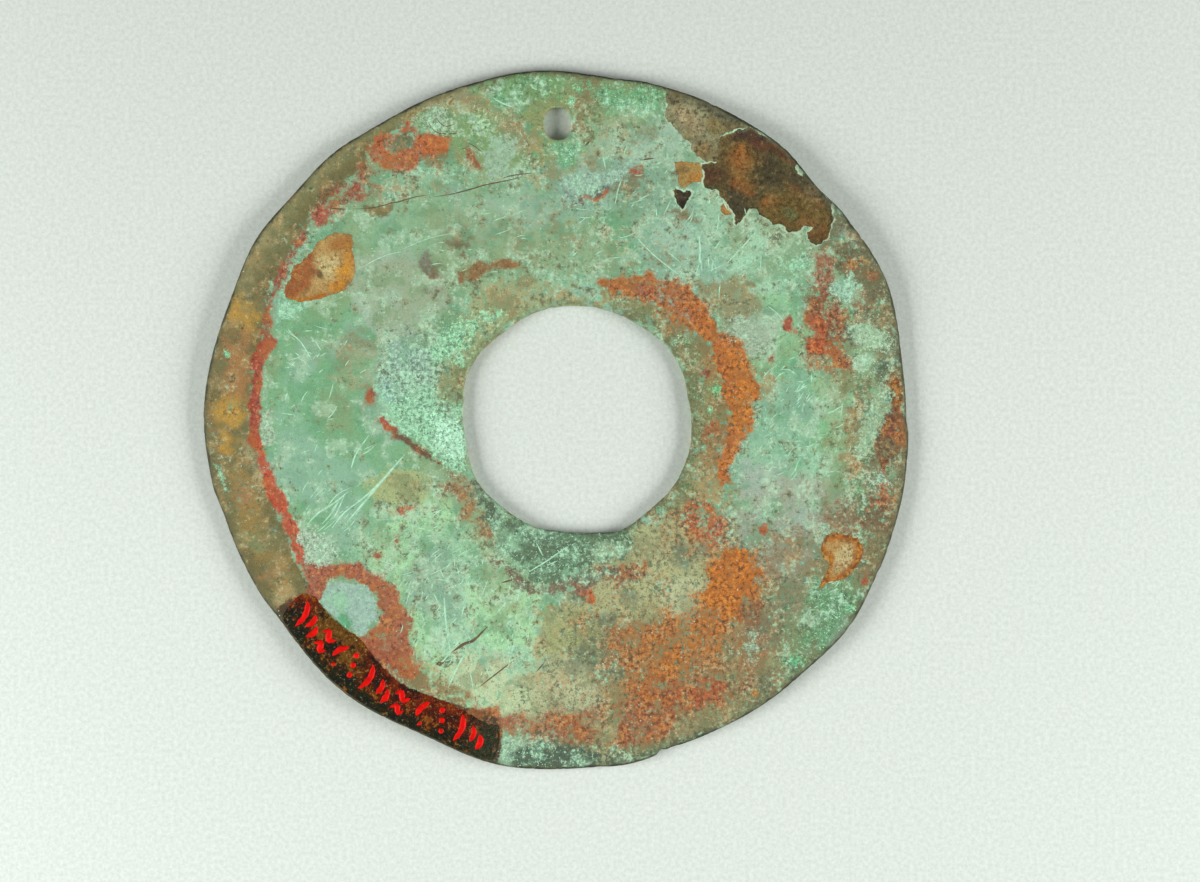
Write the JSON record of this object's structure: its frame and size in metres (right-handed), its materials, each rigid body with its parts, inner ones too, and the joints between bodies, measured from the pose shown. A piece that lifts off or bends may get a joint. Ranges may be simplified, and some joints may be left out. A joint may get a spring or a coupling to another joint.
{
  "type": "gilt copper plaque",
  "caption": "Flat, roughly round plaque of hammered gilt copper with a large off-centre opening and a small hanging hole near its top edge, green with corrosion.",
  "frame": {"origin": "on the surface the plaque lies on, under the middle of its bounding box", "axes": "+Z out of the corroded face, +Y towards the hanging hole, +X to the right seen from above"},
  "size_m": [0.1008, 0.0998, 0.002],
  "materials": {
    "corroded_copper": "matt mint-green corrosion crust with brick-red, orange and ochre patches, olive-brown bare metal and traces of gilding",
    "inventory_lacquer": "glossy clear lacquer, wet dark over the crust, with strokes of red paint"
  },
  "bodies": {
    "root": {"plaque": "corroded_copper"}
  },
  "joints": []
}
